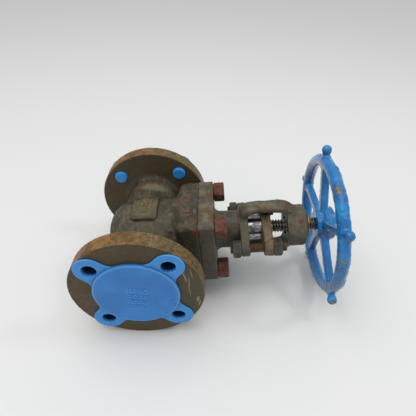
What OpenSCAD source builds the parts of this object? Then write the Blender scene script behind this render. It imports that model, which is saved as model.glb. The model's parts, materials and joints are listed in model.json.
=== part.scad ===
// Flanged globe valve with an outside screw and yoke, lying on its side.
// The run lies along Y, the stem rises along +X and +Z is up.
// The origin is the centre of the bolt circle on the inlet flange plate.

/* [Flanges] */
// Outside diameter of both flanges
flange_d = 127; // [124:1:130]
// Thickness of a flange plate without its raised face
flange_t = 15.9; // [15:0.1:18]
// Diameter of the bolt circle
bolt_circle_d = 98.4; // [97:0.1:100]
// Diameter of the bolt holes of the inlet flange
bolt_hole_d = 15.9; // [15.6:0.01:16]
// Diameter of the bolt holes of the outlet flange
outlet_hole_d = 16.21; // [15.9:0.01:16.5]
// Diameter of the raised face
raised_face_d = 73; // [70:1:74]
// Height of the raised face
raised_face_h = 1.6; // [1:0.1:2]
// Distance between the outer faces of the two flange plates
run_len = 161.8; // [160:0.1:165]
// Diameter of the bore at each flange
port_d = 38.1; // [34:0.1:40]

/* [Body] */
// Outside diameter of the necks behind the flanges
neck_d = 62; // [60:1:66]
// Outside diameter of the barrel around the stem axis
barrel_d = 74; // [72:1:76]
// How far the barrel reaches below the run
barrel_depth = 37.5; // [37:0.5:42]
// Side of the square body and bonnet flanges
square_w = 78.5; // [78:0.5:80]
// Distance between neighbouring bonnet bolts
bolt_pitch = 58.8; // [58:0.1:60]
// Height of the joint face above the run
joint_x = 59.6; // [59:0.1:61]

/* [Bonnet] */
// Height of the outer face of the bonnet flange
bonnet_face_x = 75; // [74:0.1:77]
// Outside diameter of the bonnet neck
bonnet_neck_d = 40; // [39:1:42]
// Height of the underside of the gland lugs
lug_x = 100.5; // [100:0.5:102]
// Thickness of the gland lugs
lug_t = 9.3; // [8.5:0.1:11]
// Distance between the two gland studs
gland_pitch = 64; // [63:0.5:66]
// Width of a yoke arm
arm_w = 16; // [14:1:18]
// Outside diameter of the yoke hub
yoke_hub_d = 44.6; // [44:0.1:47]

/* [Stem] */
// Diameter of the stem and of its thread crests
stem_d = 14; // [14:0.1:14.1]
// Pitch of the stem thread
thread_pitch = 3; // [2.5:0.5:3.5]
// Where the thread starts with the valve closed
thread_x = 136; // [134:1:138]

/* [Handwheel] */
// Height of the rim plane above the run with the valve closed
wheel_x = 191.3; // [190:0.1:193]
// Diameter of the circle through the middle of the rim
rim_circle_d = 137.2; // [136:0.2:139]
// Thickness of the rim
rim_t = 12.6; // [12:0.2:13]
// Diameter of the circle through the ball knobs
knob_circle_d = 161.8; // [160:0.2:163]
// Diameter of a ball knob
knob_d = 9.8; // [9.4:0.1:11]
// Number of spokes and of knobs
spoke_n = 5; // [5:1:6]
// Angle of the first spoke above the run
spoke_angle = 2.9; // [0:0.1:10]

/* [Caps] */
// Diameter of the disc of a flange cap
cap_d = 82; // [80:1:84]
// How far a cap stands out from its flange plate
cap_h = 3.6; // [3.4:0.1:4]
// Diameter of a lug around a bolt hole
cap_lug_d = 29; // [28:0.5:33]
// How far a plug shows behind its flange
plug_out = 2.4; // [2:0.1:4]

/* [Hidden] */
$fn = 96;
tiny = 0.01;
cut = 1;
slip = 0.03;

flange_r = flange_d / 2;
bolt_r = bolt_circle_d / 2;
hole_r = bolt_hole_d / 2;
outlet_hole_r = outlet_hole_d / 2;
face_r = raised_face_d / 2;
port_r = port_d / 2;
stem_y = run_len / 2;
neck_r = neck_d / 2;
neck_fillet = 6;
barrel_r = barrel_d / 2;
barrel_corner = 24;
square_corner = 4;
square_back_x = 37;
square_edge = 3;
bonnet_bolt_r = 6;
bonnet_bolt_gap = 0.75;
bolt_bottom_x = 45;
bolt_head_h = 12;
bolt_head_w = 19;

slant_r = 12.5;
slant_depth = 23;
port_straight = 24;
lower_r = 15;
lower_x = -28;
ledge_x = -3;
web_x = 3;
seat_out_r = 19;
seat_top_x = 4.5;
seat_bevel = 2;
upper_r = 27;
gasket_r = 31;
gasket_x = 55;
gasket_t = 1.8;

pad_x = 4;
pad_y = 1.5;
pad_len = 26;
pad_w = 37;
pad_h = 3;
pad_corner = 4;
mark_h = 0.6;

joint_gap = 0.6;
bonnet_x = joint_x + joint_gap;
bonnet_neck_r = bonnet_neck_d / 2;
bonnet_fillet = 7;
pocket_r = 17;
back_seat_x = 62;
back_seat_len = 16;
back_seat_r = 12.5;
stem_r = stem_d / 2;
stem_fit = 0.08;
stem_gap = 0.35;
box_r = 14;
box_x = 84;
lug_top_x = lug_x + lug_t;
gland_stud_r = 4.8;
lug_middle_r = 20.6;
lug_r = 8;
arm_in_r = 25;
arm_out_r = 31.8;
hub_lo_x = 153.4;
hub_hi_x = 169.6;
hub_end_x = 173.4;
hub_end_r = 16;
yoke_hub_r = yoke_hub_d / 2;
bush_r = 10;
bush_rim_r = 12.5;
bush_rim_h = 1.6;

packing_n = 4;
packing_t = 5;
washer_t = 2;
packing_x = box_x + washer_t;
follower_x = packing_x + packing_n * packing_t + 0.3;
follower_top_x = 126.5;
gland_x = 124.2;
gland_t = 9.8;
gland_centre_r = 17;
gland_end_r = 8.5;
nut_w = 16;
nut_t = 8.2;
nut_bevel = 1.2;
stud_lo_x = 89.6;
stud_hi_x = 147.2;

disc_r = 18.5;
disc_lo_x = 0;
disc_top_x = 14;
skirt_r = 14;
skirt_top_x = 24;
seat_gap = 0.42;
head_r = 9.7;
head_x = 11.5;
head_t = 5;
head_pocket_r = 10.2;
head_pocket_x = 9;
disc_nut_x = 16.9;
disc_nut_bore_r = 7.4;
disc_nut_rim_r = 13;
disc_nut_rim_h = 3;
shoulder_r = 10;
shoulder_x = 44;
shoulder_t = 6;

thread_root_r = stem_r - 1.5;
thread_hi_x = 182.5;
square_drive = 9.4;
wheel_hub_r = 15;
wheel_hub_out_r = 18;
wheel_hub_lo_x = 182.7;
wheel_hub_hi_x = 201;
drive_hi_x = 200.5;
stem_tip_r = 5;
stem_end_x = 212;
wheel_washer_r = 12;
wheel_nut_w = 19;
rim_r = rim_circle_d / 2;
knob_r = knob_circle_d / 2;
spoke_hub_w = 11;
spoke_rim_w = 8;
spoke_t = 8;
knob_neck_r = 3.6;

cap_r = cap_d / 2;
cap_lug_r = cap_lug_d / 2;
cap_fillet = 10;
cap_lug_h = 2.8;
cap_recess = raised_face_h + 0.2;
plug_slip = 0.07;
plug_wall = 0.36;
plug_mouth_r = 6.7;
plug_lip = 0.6;
plug_floor = 1.4;
plug_edge = 1.6;
cap_edge = 1.2;

// ---- shared shapes -------------------------------------------------------

// A round bar on the stem axis, moved by [y, z] from it
module bar_x(from, to, r, at = [0, 0]) {
    translate([from, stem_y + at[0], at[1]])
        rotate([0, 90, 0])
            cylinder(h = to - from, r = r);
}

// A round bar on the run axis, moved by [x, z] from it
module bar_y(from, to, r, at = [0, 0]) {
    translate([at[0], from, at[1]])
        rotate([-90, 0, 0])
            cylinder(h = to - from, r = r);
}

// A profile of [radius, height] turned about the stem axis
module turn_x(at = [0, 0]) {
    translate([0, stem_y + at[0], at[1]])
        rotate([0, 90, 0])
            rotate_extrude()
                children();
}

// A profile of [radius, length] turned about the run axis
module turn_y(at = [0, 0]) {
    translate([at[0], 0, at[1]])
        rotate([-90, 0, 0])
            rotate_extrude()
                children();
}

// A flat outline in [z, y] about the stem axis, made solid between two heights
module plate_x(from, to) {
    translate([from, stem_y, 0])
        rotate([0, 90, 0])
            linear_extrude(to - from)
                children();
}

// The outlet end of the valve is the inlet end turned round
module outlet_end() {
    translate([0, run_len, 0])
        mirror([0, 1, 0])
            children();
}

module rounded_square(w, corner) {
    inner = w / 2 - corner;
    square([w, 2 * inner], center = true);
    square([2 * inner, w], center = true);
    for (x = [-inner, inner], y = [-inner, inner])
        translate([x, y])
            circle(corner);
}

// An oval with a wide middle and two smaller ends, the ends along Y
module oval(middle_r, end_r, end_at) {
    lean = acos((middle_r - end_r) / end_at);
    middle_half = [middle_r * sin(lean), middle_r * cos(lean)];
    end_half = [end_r * sin(lean), end_at + end_r * cos(lean)];
    polygon([
        middle_half,
        end_half,
        [-end_half[0], end_half[1]],
        [-middle_half[0], middle_half[1]],
        [-middle_half[0], -middle_half[1]],
        [-end_half[0], -end_half[1]],
        [end_half[0], -end_half[1]],
        [middle_half[0], -middle_half[1]]
    ]);
    circle(middle_r);
    for (side = [-1, 1])
        translate([0, side * end_at])
            circle(end_r);
}

module hexagon(across) {
    circle(d = across / cos(30), $fn = 6);
}

// A hexagon nut or head with both faces bevelled round
module hex_x(from, to, across, at = [0, 0], turn = 0) {
    corner_r = across / 2 / cos(30);
    intersection() {
        translate([from, stem_y + at[0], at[1]])
            rotate([turn, 0, 0])
                rotate([0, 90, 0])
                    linear_extrude(to - from)
                        hexagon(across);
        turn_x(at)
            polygon([
                [0, from],
                [corner_r - nut_bevel, from],
                [corner_r + tiny, from + nut_bevel * 0.6],
                [corner_r + tiny, to - nut_bevel * 0.6],
                [corner_r - nut_bevel, to],
                [0, to]
            ]);
    }
}

// Places on the bolt circle, the bolts straddling the centre lines
module at_flange_bolts() {
    for (quarter = [0:3])
        rotate([0, 45 + 90 * quarter, 0])
            translate([bolt_r, 0, 0])
                children();
}

function bonnet_bolt_places() =
    [for (y = [-1, 1], z = [-1, 1]) [y * bolt_pitch / 2, z * bolt_pitch / 2]];

function gland_places() = [for (y = [-1, 1]) [y * gland_pitch / 2, 0]];

// Ring grooves along a thread, as [radius, height] triangles to cut away
module thread_grooves(from, to, crest_r, root_r, pitch) {
    for (x = [from:pitch:to - pitch])
        polygon([
            [crest_r + cut, x + 0.12 * pitch],
            [crest_r + tiny, x + 0.12 * pitch],
            [root_r, x + 0.38 * pitch],
            [root_r, x + 0.62 * pitch],
            [crest_r + tiny, x + 0.88 * pitch],
            [crest_r + cut, x + 0.88 * pitch]
        ]);
}

// ---- body ----------------------------------------------------------------

// A flange with its raised face, its neck and the fillet between them
module end_flange(holes_r) {
    difference() {
        union() {
            bar_y(0, flange_t, flange_r);
            bar_y(-raised_face_h, flange_t, face_r);
            bar_y(flange_t, stem_y, neck_r);
            turn_y()
                difference() {
                    translate([0, flange_t])
                        square([neck_r + neck_fillet, neck_fillet]);
                    translate([neck_r + neck_fillet, flange_t + neck_fillet])
                        circle(neck_fillet);
                }
        }
        at_flange_bolts()
            bar_y(-cut, flange_t + cut, holes_r);
    }
}

// The barrel around the stem axis, with a rounded closed end
module barrel() {
    turn_x()
        union() {
            translate([0, barrel_corner - barrel_depth])
                square([barrel_r, square_back_x + cut + barrel_depth - barrel_corner]);
            translate([0, -barrel_depth])
                square([barrel_r - barrel_corner, barrel_corner]);
            intersection() {
                translate([barrel_r - barrel_corner, barrel_corner - barrel_depth])
                    circle(barrel_corner);
                translate([0, -barrel_depth])
                    square([barrel_r, barrel_depth]);
            }
        }
}

// A square plate about the stem axis, the edges of one or both faces chamfered
module square_flange(from, to, low_edge, high_edge) {
    intersection() {
        plate_x(from, to)
            rounded_square(square_w, square_corner);
        for_both_ways()
            polygon([
                [-square_w / 2 - cut, from + low_edge + cut],
                [-square_w / 2 + low_edge, from],
                [square_w / 2 - low_edge, from],
                [square_w / 2 + cut, from + low_edge + cut],
                [square_w / 2 + cut, to - high_edge - cut],
                [square_w / 2 - high_edge, to],
                [-square_w / 2 + high_edge, to],
                [-square_w / 2 - cut, to - high_edge - cut]
            ]);
    }
}

// A profile of [side, height] drawn through along Y and along Z, kept where both agree
module for_both_ways() {
    intersection_for(turned = [0, 90])
        translate([0, stem_y, 0])
            rotate([turned, 0, 0])
                rotate([0, 90, 0])
                    rotate([90, 0, 0])
                        linear_extrude(flange_d, center = true)
                            children();
}

// The outline of the marking pad, about its own centre in [x, y]
module pad_outline() {
    square([pad_len, pad_w - 2 * pad_corner], center = true);
    square([pad_len - 2 * pad_corner, pad_w], center = true);
    for (x = [-1, 1], y = [-1, 1])
        translate([x * (pad_len / 2 - pad_corner), y * (pad_w / 2 - pad_corner)])
            circle(pad_corner);
}

// Two plain bars and a flow arrow, generic raised marks
module pad_marks() {
    arrow_w = 8;
    arrow_len = 20;
    arrow_shaft_w = 3;
    bar_w = 2.4;
    bar_len = 12;
    polygon([
        [-arrow_w / 2, arrow_len / 2 - arrow_w],
        [0, arrow_len / 2],
        [arrow_w / 2, arrow_len / 2 - arrow_w],
        [arrow_shaft_w / 2, arrow_len / 2 - arrow_w],
        [arrow_shaft_w / 2, -arrow_len / 2],
        [-arrow_shaft_w / 2, -arrow_len / 2],
        [-arrow_shaft_w / 2, arrow_len / 2 - arrow_w]
    ]);
    for (side = [-1, 1])
        translate([side * 8, -2])
            square([bar_w, bar_len], center = true);
}

// A small raised stamping block beside the bonnet seat
module stamping_block() {
    block_x = 28;
    block_turn = 46.5;
    block_size = [6, 3.6, 3.2];
    translate([block_x, stem_y, 0])
        rotate([block_turn, 0, 0])
            translate([0, -block_size[1] / 2, barrel_r - 2])
                cube(block_size);
}

module marking_pad() {
    intersection() {
        bar_x(pad_x - pad_len, pad_x + pad_len, barrel_r + pad_h);
        translate([pad_x, stem_y + pad_y, 0])
            linear_extrude(flange_r)
                pad_outline();
    }
    intersection() {
        bar_x(pad_x - pad_len, pad_x + pad_len, barrel_r + pad_h + mark_h);
        translate([pad_x, stem_y + pad_y, 0])
            linear_extrude(flange_r)
                pad_marks();
    }
}

// A slanting passage from the middle of a port to the stem axis at a given height
module slanted_passage(to_x) {
    start_y = port_straight - 10;
    reach = stem_y - start_y;
    translate([0, start_y, 0])
        rotate([-90, 0, -atan2(to_x, reach)])
            cylinder(h = sqrt(reach * reach + to_x * to_x), r = slant_r);
}

module inlet_passage() {
    bar_y(-raised_face_h - cut, port_straight, port_r);
    slanted_passage(-slant_depth);
}

module outlet_passage() {
    outlet_end() {
        bar_y(-raised_face_h - cut, port_straight, port_r);
        slanted_passage(slant_depth);
    }
}

module body() {
    color("#7d776b")
        difference() {
            union() {
                end_flange(hole_r);
                outlet_end()
                    end_flange(outlet_hole_r);
                barrel();
                square_flange(square_back_x, joint_x, square_edge, 0.4);
                marking_pad();
                stamping_block();
            }
            inlet_passage();
            outlet_passage();
            bar_x(lower_x, ledge_x + tiny, lower_r);
            bar_x(ledge_x, web_x + tiny, seat_out_r + slip);
            bar_x(web_x, joint_x + cut, upper_r);
            bar_x(gasket_x, joint_x + cut, gasket_r);
            for (place = bonnet_bolt_places())
                bar_x(bolt_bottom_x - 2, joint_x + cut, bonnet_bolt_r + slip, place);
        }
}

module seat_ring() {
    color("#c9ccd0")
        turn_x()
            polygon([
                [lower_r, ledge_x],
                [seat_out_r, ledge_x],
                [seat_out_r, seat_top_x],
                [lower_r + seat_bevel, seat_top_x],
                [lower_r, seat_top_x - seat_bevel]
            ]);
}

// ---- bonnet --------------------------------------------------------------

module bonnet_gasket() {
    color("#5a5f63")
        turn_x()
            translate([upper_r + 0.5, gasket_x])
                square([gasket_r - upper_r - 0.6, gasket_t]);
}

// One arm of the yoke as a profile about the stem axis, from the lugs to the hub
module arm_profile() {
    polygon([
        [bonnet_neck_r - 4, lug_x + 1],
        [bonnet_neck_r + 5, lug_x + 2],
        [arm_out_r - 2.5, lug_top_x - 1],
        [arm_out_r - 0.6, lug_top_x + 7],
        [arm_out_r, lug_top_x + 22],
        [arm_out_r, hub_lo_x - 9],
        [arm_out_r - 1.5, hub_lo_x - 4],
        [yoke_hub_r + 3, hub_lo_x + 3],
        [yoke_hub_r - 1, hub_lo_x + 6],
        [bush_r + 4, hub_lo_x + 6],
        [bush_r + 4, hub_lo_x],
        [yoke_hub_r - 2, hub_lo_x],
        [arm_in_r - 1.2, hub_lo_x - 4],
        [arm_in_r, hub_lo_x - 10],
        [arm_in_r, lug_top_x + 9],
        [arm_in_r - 2, lug_top_x + 3],
        [bonnet_neck_r - 1, lug_top_x],
        [bonnet_neck_r - 4, lug_top_x]
    ]);
}

module yoke_arms() {
    intersection() {
        turn_x()
            arm_profile();
        translate([lug_x, stem_y - arm_w / 2, -flange_r])
            cube([hub_hi_x - lug_x, arm_w, flange_d]);
    }
}

module yoke_hub() {
    turn_x()
        polygon([
            [bush_r, hub_lo_x],
            [yoke_hub_r - 1.5, hub_lo_x],
            [yoke_hub_r, hub_lo_x + 1.5],
            [yoke_hub_r, hub_hi_x],
            [yoke_hub_r - 1.5, hub_hi_x + 1.6],
            [hub_end_r, hub_end_x],
            [bush_r, hub_end_x]
        ]);
}

module bonnet_neck() {
    turn_x()
        union() {
            translate([0, bonnet_face_x - cut])
                square([bonnet_neck_r, lug_x - bonnet_face_x + 2 * cut]);
            difference() {
                translate([0, bonnet_face_x - cut])
                    square([bonnet_neck_r + bonnet_fillet, bonnet_fillet + cut]);
                translate([bonnet_neck_r + bonnet_fillet, bonnet_face_x + bonnet_fillet])
                    circle(bonnet_fillet);
            }
        }
}

module bonnet() {
    color("#77736a")
        difference() {
            union() {
                square_flange(bonnet_x, bonnet_face_x, 0.4, 1.2);
                bar_x(gasket_x + gasket_t, bonnet_x + tiny, gasket_r - 0.3);
                bonnet_neck();
                plate_x(lug_x, lug_top_x)
                    oval(lug_middle_r, lug_r, gland_pitch / 2);
                yoke_arms();
                yoke_hub();
            }
            bar_x(gasket_x, back_seat_x, pocket_r);
            bar_x(back_seat_x - tiny, back_seat_x + back_seat_len, back_seat_r + slip);
            bar_x(back_seat_x, box_x + cut, stem_r + stem_gap);
            bar_x(box_x, lug_top_x + cut, box_r);
            bar_x(hub_lo_x - cut, hub_end_x + cut, bush_r + slip);
            for (place = bonnet_bolt_places())
                bar_x(bonnet_x - cut, bonnet_face_x + cut, bonnet_bolt_r + bonnet_bolt_gap, place);
            for (place = gland_places())
                bar_x(lug_x - cut, lug_top_x + cut, gland_stud_r + 0.4, place);
        }
}

module bonnet_bolts() {
    color("#8a4a3c")
        for (place = bonnet_bolt_places()) {
            bar_x(bolt_bottom_x, bonnet_face_x + tiny, bonnet_bolt_r, place);
            hex_x(bonnet_face_x, bonnet_face_x + bolt_head_h, bolt_head_w, place, 12);
        }
}

module back_seat_bush() {
    mouth_r = shoulder_r + 0.6;
    bore_r = stem_r + stem_fit;
    color("#b9b9b4")
        turn_x()
            polygon([
                [mouth_r, back_seat_x],
                [back_seat_r, back_seat_x],
                [back_seat_r, back_seat_x + back_seat_len],
                [bore_r, back_seat_x + back_seat_len],
                [bore_r, back_seat_x + mouth_r - bore_r]
            ]);
}

// ---- gland ---------------------------------------------------------------

module packing_washer() {
    color("#9a9a96")
        turn_x()
            translate([stem_r + stem_gap, box_x])
                square([box_r - stem_r - stem_gap - slip, washer_t]);
}

module packing_rings() {
    color("#2f2f31")
        turn_x()
            for (ring = [0:packing_n - 1])
                translate([stem_r + stem_fit, packing_x + ring * packing_t + tiny])
                    square([box_r - stem_r - stem_fit - slip, packing_t - 2 * tiny]);
}

module gland_follower() {
    color("#d4d6d8")
        turn_x()
            polygon([
                [stem_r + stem_gap, follower_x],
                [box_r - 0.05, follower_x],
                [box_r - 0.05, follower_top_x - 1],
                [box_r - 1, follower_top_x],
                [stem_r + stem_gap, follower_top_x]
            ]);
}

module gland_flange() {
    color("#8d7b58")
        difference() {
            plate_x(gland_x, gland_x + gland_t)
                oval(gland_centre_r, gland_end_r, gland_pitch / 2);
            bar_x(gland_x - cut, gland_x + gland_t + cut, stem_r + 1);
            turn_x()
                translate([0, gland_x - cut])
                    polygon([
                        [0, 0],
                        [box_r + 0.1, 0],
                        [box_r + 0.1, follower_top_x - gland_x],
                        [box_r - 1 + 0.1, cut + follower_top_x - gland_x],
                        [0, cut + follower_top_x - gland_x]
                    ]);
            for (place = gland_places())
                bar_x(gland_x - cut, gland_x + gland_t + cut, gland_stud_r + 0.5, place);
        }
}

module gland_studs() {
    stud_pitch = 1.5;
    color("#6f5340")
        for (place = gland_places())
            turn_x(place)
                difference() {
                    polygon([
                        [0, stud_lo_x],
                        [gland_stud_r - 1, stud_lo_x],
                        [gland_stud_r, stud_lo_x + 1],
                        [gland_stud_r, stud_hi_x - 1],
                        [gland_stud_r - 1, stud_hi_x],
                        [0, stud_hi_x]
                    ]);
                    thread_grooves(
                        lug_top_x + 1, gland_x, gland_stud_r, gland_stud_r - 0.8, stud_pitch
                    );
                }
}

module gland_nut_pair(from, turn) {
    for (place = gland_places())
        difference() {
            hex_x(from, from + nut_t, nut_w, place, turn);
            bar_x(from - cut, from + nut_t + cut, gland_stud_r + slip, place);
        }
}

module gland_back_nuts() {
    color("#5d5b55")
        gland_nut_pair(lug_x - nut_t, 8);
}

module gland_nuts() {
    color("#6b6257")
        gland_nut_pair(gland_x + gland_t, 20);
}

module yoke_bush() {
    bore_r = stem_r + stem_fit;
    color("#c2a24a")
        turn_x()
            polygon([
                [bore_r, hub_lo_x - 1],
                [bush_r, hub_lo_x - 1],
                [bush_r, hub_end_x],
                [bush_rim_r, hub_end_x],
                [bush_rim_r, hub_end_x + bush_rim_h - 0.4],
                [bush_rim_r - 0.4, hub_end_x + bush_rim_h],
                [bore_r, hub_end_x + bush_rim_h]
            ]);
}

// ---- moving parts --------------------------------------------------------

module disc() {
    cone_r = lower_r - seat_gap;
    cone_x = seat_top_x - seat_bevel;
    step = 3;
    color("#b4b7ba")
        turn_x()
            difference() {
                polygon([
                    [0, disc_lo_x],
                    [cone_r - 1, disc_lo_x],
                    [cone_r, disc_lo_x + 1],
                    [cone_r, cone_x],
                    [cone_r + step, cone_x + step],
                    [disc_r, cone_x + step],
                    [disc_r, disc_top_x],
                    [skirt_r, disc_top_x],
                    [skirt_r, skirt_top_x],
                    [0, skirt_top_x]
                ]);
                translate([0, head_pocket_x])
                    square([head_pocket_r, skirt_top_x]);
            }
}

module thrust_pad() {
    color("#4d5054")
        bar_x(head_pocket_x, head_x - 0.3, head_pocket_r - 2);
}

module disc_nut() {
    rim_x = skirt_top_x + tiny;
    color("#a3a7aa")
        turn_x()
            polygon([
                [disc_nut_bore_r, disc_nut_x],
                [head_pocket_r - slip, disc_nut_x],
                [head_pocket_r - slip, rim_x],
                [disc_nut_rim_r, rim_x],
                [disc_nut_rim_r, rim_x + disc_nut_rim_h],
                [disc_nut_bore_r, rim_x + disc_nut_rim_h]
            ]);
}

module stem() {
    color("#8f8f8c") {
        turn_x()
            difference() {
                polygon([
                    [0, head_x],
                    [head_r - 1, head_x],
                    [head_r, head_x + 1],
                    [head_r, head_x + head_t],
                    [stem_r, head_x + head_t],
                    [stem_r, shoulder_x],
                    [shoulder_r, shoulder_x + shoulder_r - stem_r],
                    [shoulder_r, shoulder_x + shoulder_t],
                    [stem_r, shoulder_x + shoulder_t + shoulder_r - stem_r],
                    [stem_r, thread_hi_x],
                    [0, thread_hi_x]
                ]);
                thread_grooves(thread_x, thread_hi_x, stem_r, thread_root_r, thread_pitch);
            }
        translate([thread_hi_x - tiny, stem_y - square_drive / 2, -square_drive / 2])
            cube([drive_hi_x - thread_hi_x + tiny, square_drive, square_drive]);
        bar_x(drive_hi_x - tiny, stem_end_x - 1, stem_tip_r - slip);
        turn_x()
            polygon([
                [0, stem_end_x - 1 - tiny],
                [stem_tip_r - slip, stem_end_x - 1 - tiny],
                [stem_tip_r - 1, stem_end_x],
                [0, stem_end_x]
            ]);
    }
}

// One spoke with its ball knob, lying along local Z before it is turned to its place
module spoke() {
    hub_overlap = 4;
    translate([wheel_x - spoke_t / 2, stem_y, 0])
        rotate([0, 90, 0])
            linear_extrude(spoke_t)
                polygon([
                    [-(wheel_hub_r - hub_overlap), -spoke_hub_w / 2],
                    [-rim_r, -spoke_rim_w / 2],
                    [-rim_r, spoke_rim_w / 2],
                    [-(wheel_hub_r - hub_overlap), spoke_hub_w / 2]
                ]);
    translate([wheel_x, stem_y, rim_r])
        cylinder(h = knob_r - rim_r, r = knob_neck_r);
    translate([wheel_x, stem_y, knob_r])
        sphere(d = knob_d);
}

module handwheel() {
    color("#2f7fc8")
        difference() {
            union() {
                turn_x()
                    translate([rim_r, wheel_x])
                        circle(d = rim_t);
                turn_x()
                    polygon([
                        [0, wheel_hub_lo_x],
                        [wheel_hub_r, wheel_hub_lo_x],
                        [wheel_hub_r, wheel_x - 3],
                        [wheel_hub_out_r, wheel_x + 2],
                        [wheel_hub_out_r, wheel_hub_hi_x - 1],
                        [wheel_hub_out_r - 1, wheel_hub_hi_x],
                        [0, wheel_hub_hi_x]
                    ]);
                for (k = [0:spoke_n - 1])
                    translate([0, stem_y, 0])
                        rotate([spoke_angle - 90 + 360 / spoke_n * k, 0, 0])
                            translate([0, -stem_y, 0])
                                spoke();
            }
            translate([
                wheel_hub_lo_x - cut,
                stem_y - square_drive / 2 - 0.1,
                -square_drive / 2 - 0.1
            ])
                cube([
                    wheel_hub_hi_x - wheel_hub_lo_x + 2 * cut,
                    square_drive + 0.2,
                    square_drive + 0.2
                ]);
        }
}

module wheel_washer() {
    color("#4a83bd")
        difference() {
            bar_x(wheel_hub_hi_x, wheel_hub_hi_x + washer_t, wheel_washer_r);
            bar_x(wheel_hub_hi_x - cut, wheel_hub_hi_x + washer_t + cut, stem_tip_r + 0.3);
        }
}

module wheel_nut() {
    nut_x = wheel_hub_hi_x + washer_t;
    color("#3a78b8")
        difference() {
            hex_x(nut_x, nut_x + nut_t, wheel_nut_w, [0, 0], 15);
            bar_x(nut_x - cut, nut_x + nut_t + cut, stem_tip_r);
        }
}

// ---- flange caps ---------------------------------------------------------

// One quarter of a cap's outline in the flange plane: its lug and the web to the disc
module cap_lug_outline() {
    near = cap_r + cap_fillet;
    far = cap_lug_r + cap_fillet;
    lean = acos((near * near + bolt_r * bolt_r - far * far) / (2 * near * bolt_r));
    difference() {
        polygon([
            [0, 0],
            [near * cos(lean), near * sin(lean)],
            [bolt_r, 0],
            [near * cos(lean), -near * sin(lean)]
        ]);
        for (side = [-1, 1])
            translate([near * cos(lean), side * near * sin(lean)])
                circle(cap_fillet);
    }
    translate([bolt_r, 0])
        circle(cap_lug_r);
}

module cap_outline() {
    for (quarter = [0:3])
        rotate(45 + 90 * quarter)
            cap_lug_outline();
    circle(cap_r);
}

// The closed hollow plug that goes through one bolt hole
module cap_plug(plug_r) {
    plug_bore_r = plug_r - plug_wall;
    turn_y()
        polygon([
            [0, flange_t + plug_out - plug_floor],
            [plug_bore_r - 0.4, flange_t + plug_out - plug_floor],
            [plug_bore_r, flange_t + plug_out - plug_floor - 0.4],
            [plug_bore_r, -plug_lip],
            [plug_mouth_r, -plug_lip],
            [plug_mouth_r, -cap_lug_h],
            [plug_r, -cap_lug_h],
            [plug_r, flange_t],
            [plug_r - plug_edge / 2, flange_t + plug_edge / 2],
            [plug_r - plug_edge / 2, flange_t + plug_out - plug_edge / 2],
            [plug_r - plug_edge, flange_t + plug_out],
            [0, flange_t + plug_out]
        ]);
}

// A cap for a flange with bolt holes of radius holes_r
module flange_cap(holes_r) {
    plug_r = holes_r - plug_slip;
    lug_base = 0.1;
    color("#2c86d6") {
        difference() {
            union() {
                rotate([90, 0, 0])
                    linear_extrude(cap_lug_h)
                        cap_outline();
                turn_y()
                    polygon([
                        [0, -cap_h],
                        [cap_r - cap_edge, -cap_h],
                        [cap_r, cap_edge - cap_h],
                        [cap_r, -tiny],
                        [0, -tiny]
                    ]);
            }
            bar_y(-cap_recess, cut, face_r + 0.5);
            bar_y(-lug_base, cut, flange_r + cap_lug_r);
            at_flange_bolts()
                bar_y(-cap_h - cut, cut, plug_r - tiny);
        }
        at_flange_bolts()
            cap_plug(plug_r);
    }
}

module inlet_cap() {
    flange_cap(hole_r);
}

module outlet_cap() {
    outlet_end()
        flange_cap(outlet_hole_r);
}

body();
seat_ring();
bonnet_gasket();
bonnet();
bonnet_bolts();
back_seat_bush();
packing_washer();
packing_rings();
gland_follower();
gland_flange();
gland_studs();
gland_back_nuts();
gland_nuts();
yoke_bush();
disc();
thrust_pad();
disc_nut();
stem();
handwheel();
wheel_washer();
wheel_nut();
inlet_cap();
outlet_cap();
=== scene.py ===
from math import cos, pi, radians, sin, sqrt

import bpy
import numpy as np
from mathutils import Matrix, Vector
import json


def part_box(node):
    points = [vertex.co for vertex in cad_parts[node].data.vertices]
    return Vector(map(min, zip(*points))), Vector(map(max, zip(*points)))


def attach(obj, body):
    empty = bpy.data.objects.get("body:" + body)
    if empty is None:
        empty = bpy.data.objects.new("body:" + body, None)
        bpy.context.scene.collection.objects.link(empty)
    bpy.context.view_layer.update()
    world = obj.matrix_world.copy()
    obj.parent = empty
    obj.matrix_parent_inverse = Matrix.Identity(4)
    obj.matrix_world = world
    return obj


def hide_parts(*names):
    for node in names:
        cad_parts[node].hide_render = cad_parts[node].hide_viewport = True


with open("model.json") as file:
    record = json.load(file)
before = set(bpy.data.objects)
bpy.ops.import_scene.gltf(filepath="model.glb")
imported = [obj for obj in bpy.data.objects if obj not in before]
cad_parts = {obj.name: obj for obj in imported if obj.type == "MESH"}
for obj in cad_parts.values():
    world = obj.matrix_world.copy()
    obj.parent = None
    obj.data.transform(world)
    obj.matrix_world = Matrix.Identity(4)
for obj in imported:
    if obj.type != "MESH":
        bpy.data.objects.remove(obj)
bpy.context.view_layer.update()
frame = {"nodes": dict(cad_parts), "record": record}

# ---- sizes, in millimetres unless a name says otherwise ---------------------------------

MM = 0.001
inlet, outlet = frame["record"]["mounts"][:2]
run_len = outlet["pos_m"][1] / MM
stem_y = run_len / 2
bolt_r = inlet["dims"]["pcd_mm"] / 2
bolt_at = bolt_r * sqrt(0.5)
hole_r = inlet["dims"]["hole_r_mm"]
outlet_hole_r = outlet["dims"]["hole_r_mm"]


def low(node, axis):
    """The lowest x, y or z of a CAD node, in millimetres."""
    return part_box(node)[0]["xyz".index(axis)] / MM


def high(node, axis):
    """The highest x, y or z of a CAD node, in millimetres."""
    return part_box(node)[1]["xyz".index(axis)] / MM


def span(node):
    """Where a CAD node starts and ends along the stem, in millimetres."""
    return low(node, "x"), high(node, "x")


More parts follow.
